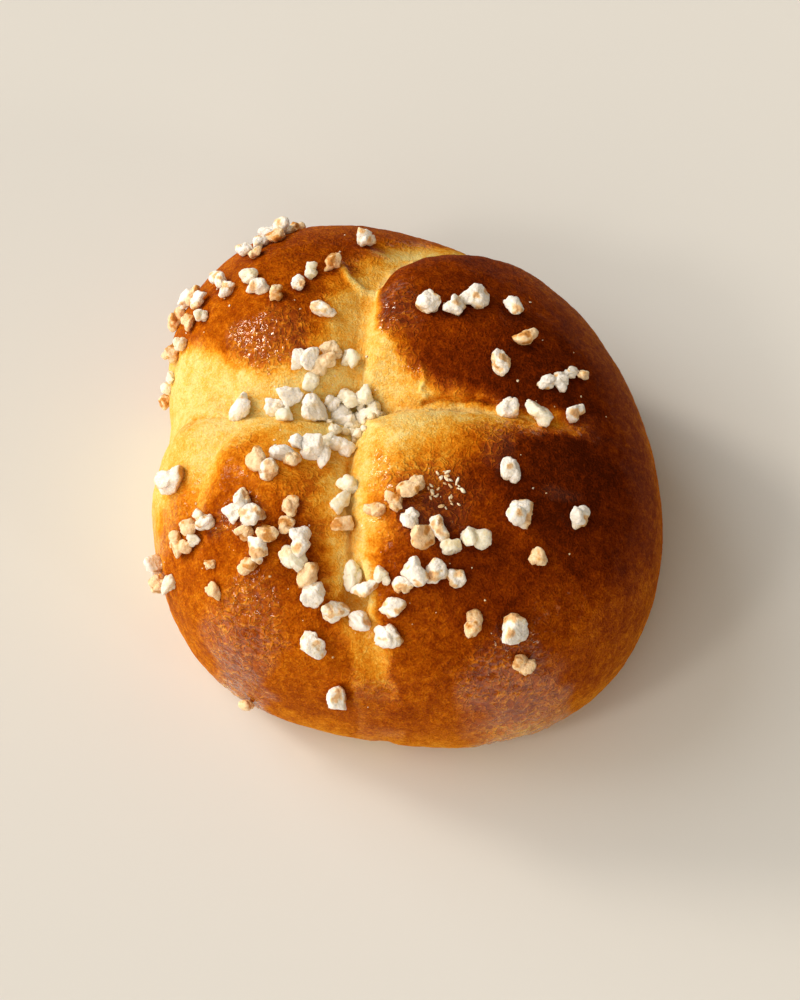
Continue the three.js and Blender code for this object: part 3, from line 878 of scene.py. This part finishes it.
def makeSugarMaterial(name, look):
    material, tree, shader = newMaterial(name)
    place = objectPlace(tree)
    most = sugarFinish["toastShift"]
    grain = addNoise(tree, place, *sugarFinish["toastGrain"])
    shifted = addSpread(tree, grain, *noiseRange, -most, most)
    toast = addMath(tree, "ADD", attributeOf(tree, "toast"), shifted, clamp=True)
    # crystals with finer grain on them
    inputs = {"Vector": place, "Scale": mmPerMetre / look["crystals"]}
    crystals = addNode(tree, "TexVoronoi", inputs)
    rough = addNoise(tree, place, *sugarFinish["rough"])
    relief = addMath(tree, "ADD", rough, crystals.outputs["Distance"])
    setInputs(tree, shader, {
        **sugarFinish["shader"],
        **dict(zip(sugarFinish["surfaceInputs"], look["surface"])),
        "Base Color": addRamp(tree, toast, look["colours"]),
        "Normal": addBump(tree, relief, sugarFinish["relief"]),
    })
    return material


# a nib's balls: how far they lie from the middle, their radii, and how far at least they reach
# past it; then its flat cuts, and the height, size and seed of its surface's grain
grains = {
    "cells": 14, "lobes": 5, "offset": (0.18, 0.36), "radius": (0.20, 0.34), "pastMiddle": 0.04,
    "planes": 10, "planeDistance": (0.30, 0.52), "lobePower": 16, "planePower": 28,
    "rough": [(0.20, 0.9, 71), (0.15, 0.45, 72)],
}


# directions on the six faces of a cube, with shared edges merged
def unitBall(cells):
    side = cells + 1
    digits = 6                # corners this alike are one corner
    span = np.tan(np.linspace(-np.pi / 4, np.pi / 4, side))
    a, b = (grid.ravel() for grid in np.meshgrid(span, span, indexing="ij"))
    one = np.ones_like(a)
    faces = [(a, b, one), (b, a, -one), (one, a, b), (-one, b, a), (b, one, a), (a, -one, b)]
    points = np.concatenate([np.stack(face, -1) for face in faces])
    rays, merged = np.unique(points.round(digits), axis=0, return_inverse=True)
    quads = gridQuads(side)[1]
    quads = np.concatenate([quads + face * side * side for face in range(len(faces))])
    return rays / np.linalg.norm(rays, axis=1, keepdims=True), merged.ravel()[quads]


# even directions on a ball from two draws each
def randomRays(numbers):
    z = drawBothWays(numbers)
    turn = 2 * np.pi * draw(numbers + 0.37)
    flat = np.sqrt(1 - z * z)
    return np.stack([flat * np.cos(turn), flat * np.sin(turn), z], -1)


# How far each ray goes, in a lump about one across. Several balls that all hold the middle
# are joined by the root of their high powers' sum, and random planes cut them off flat. The
# factors and steps beside the numbers only keep the draws apart.
def grainReach(rays, numbers):
    joined = 0
    for lobe in range(grains["lobes"]):
        away = partWay(grains["offset"], draw(numbers * 1.3 + 5 * lobe))[:, None]
        radius = partWay(grains["radius"], draw(numbers * 1.9 + 11 * lobe))[:, None]
        radius = np.maximum(radius, away + grains["pastMiddle"])
        along = np.einsum("vk,nk->nv", rays, randomRays(numbers * 3.1 + 7 * lobe)) * away
        reach = along + np.sqrt(radius ** 2 - away ** 2 + along ** 2)
        joined += reach ** grains["lobePower"]
    joined = joined ** (1 / grains["lobePower"])
    plane = np.arange(grains["planes"])
    facing = randomRays(numbers[:, None] * 1.7 + 31 * plane)
    distance = partWay(grains["planeDistance"], draw(numbers[:, None] * 0.9 + 13 * plane))
    near = np.maximum(np.einsum("vk,npk->nvp", rays, facing), 0) / distance[:, None, :]
    power = grains["planePower"]
    return (joined ** -power + np.sum(near ** power, -1)) ** (-1 / power)


# stands each grain on its normal, after a turn about Z and a small tilt about X
def turnMatrices(normals, spin, tilt):
    zero, one = np.zeros_like(spin), np.ones_like(spin)

    def matrices(*entries):
        return np.stack(entries, -1).reshape(-1, 3, 3)

    cosine, sine = np.cos(spin), np.sin(spin)
    aboutZ = matrices(cosine, -sine, zero, sine, cosine, zero, zero, zero, one)
    cosine, sine = np.cos(tilt), np.sin(tilt)
    aboutX = matrices(one, zero, zero, zero, cosine, -sine, zero, sine, cosine)
    x, y = -normals[:, 1], normals[:, 0]                     # Z crossed with the normal
    skew = matrices(zero, zero, y, zero, zero, -x, -y, x, zero)
    stand = np.eye(3) + skew + skew @ skew / (1 + normals[:, 2])[:, None, None]
    return stand @ aboutX @ aboutZ


# one piece of many balls with the same faces, their points ball by ball
def makeBalls(name, points, quads, toast, look):
    step = np.arange(points.shape[0])[:, None, None] * points.shape[1]
    makePiece(
        name, points.reshape(-1, 3), (quads + step).reshape(-1, 4), np.zeros((0, 3), int),
        makeSugarMaterial(name, sugarLook[look]), {"toast": toast},
    )


# toast for each kind: everywhere, in patches, and low down
toastAmounts = {
    "white_sugar": (0.0, 0.80, 0.40),
    "toasted_sugar": (0.22, 0.90, 0.35),
    "clear_sugar": (0.0, 0.35, 0.20),
}
toasting = {
    "patches": [(1, 1.9, 81), (0.5, 0.9, 82)], "patchEdge": (0.15, 0.70), "lowEdge": (-0.15, 0.35),
    "inPit": 0.25, "pitReach": (10, 24),      # the toast's share in the pit, and how far that goes
}


# nibs: a lump of each one's size and sides, turned onto the crust, roughened along its rays
def makeSugar(name, rows, normals, centres):
    rays, quads = unitBall(grains["cells"])
    size, number = rows[:, 2:3], rows[:, 4]
    longer = 1 + nib["unevenLength"] * drawBothWays(number + nib["lengthDraw"])
    length, width, height = nib["sides"]
    sides = np.stack([length * longer, width / np.sqrt(longer), np.full_like(longer, height)], -1)
    shape = rays * grainReach(rays, number)[..., None] * (sides * size)[:, None, :]
    spin = 2 * np.pi * draw(number + nib["turnDraw"])
    turn = turnMatrices(normals, spin, nib["tilt"] * drawBothWays(number + nib["tiltDraw"]))
    local = np.einsum("nij,nvj->nvi", turn, shape)
    points = local + centres[:, None, :]
    for amount, grainSize, seed in grains["rough"]:
        points += unitLength(local) * (amount * softNoise(points, grainSize, seed))[..., None]
    # toast gathers in patches and low down, and the pit in the middle is sheltered from it
    everywhere, inPatches, lowDown = toastAmounts[name]
    low = -np.einsum("nvk,nk->nv", local, normals) / size
    patches = layeredNoise(points, toasting["patches"])
    toast = everywhere + inPatches * smoothStep(*toasting["patchEdge"], patches)
    toast += lowDown * smoothStep(*toasting["lowEdge"], low)
    fromCross = np.hypot(*(centres[:, :2] - bun["cross"]).T)
    toast = toast * partWay((toasting["inPit"], 1), smoothStep(*toasting["pitReach"], fromCross))[:, None]
    makeBalls(name, points, quads, np.clip(toast, 0, 1), name)


for kind, kindName in enumerate(toastAmounts):
    chosen = sugar[:, 3] == kind
    makeSugar(kindName, sugar[chosen], sugarNormals[chosen], sugarCentres[chosen])
print("pearl sugar made")


# Small sugar: grains that fell off round the nibs, flakes on the glaze (round a bearing and an
# angle down from the top, in degrees), and crumbs in the pit. The spread is in degrees, the
# size in millimetres.
smallSugar = {
    "grains": {
        "perNib": 1, "spread": (3, 8), "size": (0.2, 0.5), "sides": (1.2, 1, 0.8), "toast": 1.0,
    },
    "flakes": {
        "at": (-65, 32), "count": 30,
        "spread": (0, 5), "size": (0.45, 0.9), "sides": (1.6, 0.8, 0.3), "toast": 1.0,
    },
    "crumbs": {
        "at": (172, 18), "count": 40,
        "spread": (0, 11), "size": (1.2, 2.6), "sides": (1.2, 1, 0.8), "toast": 0.5,
    },
}
bit = {"cells": 2, "uneven": 0.35, "lift": 0.25, "tilt": 0.5, "firstDraw": 5000.0, "drawsKept": 2000}


# places round a middle, or round every nib: two draws each give the way and the distance
def scatter(kind, number):
    if "at" in kind:
        middle = np.tile(rayTowards(*np.radians(kind["at"])), (len(number), 1))
    else:
        middle = np.repeat(rayTowards(sugar[:, 0], sugar[:, 1]), kind["perNib"], axis=0)
    level = unitLength(np.cross([0, 0, 1], middle))
    turn = 2 * np.pi * draw(number * 1.1)
    reach = partWay(np.radians(kind["spread"]), np.sqrt(draw(number * 2.3)))
    sideways, downwards = (reach * np.cos(turn))[:, None], (reach * np.sin(turn))[:, None]
    return directionOf(middle + sideways * level + downwards * np.cross(level, middle))


# each bit is a small ball with uneven corners, laid on the crust; most are near the smaller size
def makeSmallSugar(name, kinds):
    rays, quads = unitBall(bit["cells"])
    points, toasts = [], []
    for index, kind in enumerate(smallSugar[key] for key in kinds):
        count = kind["count"] if "at" in kind else kind["perNib"] * len(sugar)
        number = bit["firstDraw"] + bit["drawsKept"] * index + np.arange(count)
        bearing, polar = scatter(kind, number)
        size = partWay(kind["size"], draw(number * 3.7) ** 2)
        normals = crustNormal(bearing, polar)
        centres = crustPoint(bearing, polar) + normals * (bit["lift"] * size)[:, None]
        corner = 1 + bit["uneven"] * drawBothWays(number[:, None] * 4.1 + np.arange(len(rays)))
        shape = rays * corner[..., None] * 0.5 * (size[:, None] * kind["sides"])[:, None, :]
        spin = 2 * np.pi * draw(number * 5.3)
        turn = turnMatrices(normals, spin, bit["tilt"] * drawBothWays(number * 6.1))
        points.append(np.einsum("nij,nvj->nvi", turn, shape) + centres[:, None, :])
        toasts.append(np.repeat(kind["toast"] * draw(number * 7.7), len(rays)))
    makeBalls(name, np.concatenate(points), quads, np.concatenate(toasts), "small_sugar")


makeSmallSugar("sugar_dust", ("grains", "flakes"))
makeSmallSugar("sugar_crumbs", ("crumbs",))
print("small sugar made")


stage = {
    "floorSize": 4.0,
    "floor": {"Base Color": (0.72, 0.745, 0.76, 1), "Roughness": 0.7, "Specular IOR Level": 0.2},
    "sky": {"Color": (1.0, 0.82, 0.60, 1), "Strength": 0.155},
}

# each source's bearing, height in the sky and width in degrees, then its power, its colour and
# whether the glaze mirrors it: it mirrors the small ones, and the wide ones only fill
lamps = {
    "low_sun": (152, 28, 12, 1.15, (1.0, 0.84, 0.66), True),
    "window": (155, 33, 50, 1.4, (0.97, 0.99, 0.98), False),
    "glint": (212, 38, 10, 0.45, (1.0, 0.88, 0.74), True),
    "front": (-42, 24, 8, 0.24, (1.0, 0.84, 0.62), True),
    "room": (218, 40, 90, 2.0, (1.0, 0.85, 0.68), False),
}


# unit vector towards a place in the sky, from its bearing and elevation in degrees
def skyDirection(bearing, elevation):
    bearing, elevation = math.radians(bearing), math.radians(elevation)
    level = math.cos(elevation)
    return Vector((level * math.cos(bearing), level * math.sin(bearing), math.sin(elevation)))


def makeFloor():
    half = stage["floorSize"] / 2
    mesh = bpy.data.meshes.new("floor")
    corners = [(-half, -half, 0), (half, -half, 0), (half, half, 0), (-half, half, 0)]
    mesh.from_pydata(corners, [], [(0, 1, 2, 3)])
    material, tree, shader = newMaterial("pale_floor")
    setInputs(tree, shader, stage["floor"])
    mesh.materials.append(material)
    floor = addObject("floor", mesh)


def makeLights():
    for name, (bearing, elevation, width, power, colour, mirrored) in lamps.items():
        sun = bpy.data.lights.new(name, "SUN")
        sun.energy = power
        sun.angle = math.radians(width)
        sun.color = colour
        source = addObject(name, sun)
        source.rotation_mode = "QUATERNION"
        source.rotation_quaternion = skyDirection(bearing, elevation).to_track_quat("Z", "Y")
        source.visible_glossy = mirrored
    world = bpy.data.worlds.new("soft_sky")
    world.use_nodes = True
    setInputs(world.node_tree, world.node_tree.nodes["Background"], stage["sky"])
    bpy.context.scene.world = world
    bpy.context.scene.view_settings.view_transform = "Standard"


# the camera's bearing and elevation in degrees; its lens and sensor in millimetres, the rest in metres
view = {
    "bearing": -90, "elevation": 62, "distance": 0.594, "lookAt": (0.0003, -0.0045, 0.020),
    "lens": 107, "sensor": 36, "clipStart": 0.01,
}


def makeCamera():
    camera = bpy.data.cameras.new("camera")
    camera.lens = view["lens"]
    camera.sensor_width = view["sensor"]
    camera.clip_start = view["clipStart"]
    eye = addObject("camera", camera)
    back = skyDirection(view["bearing"], view["elevation"])
    target = Vector(view["lookAt"]) + Vector(shift * metresPerMm)
    eye.location = target + back * view["distance"]
    eye.rotation_euler = back.to_track_quat("Z", "Y").to_euler()
    bpy.context.scene.camera = eye


makeFloor()
makeLights()
makeCamera()
print("stage, lights and camera set")
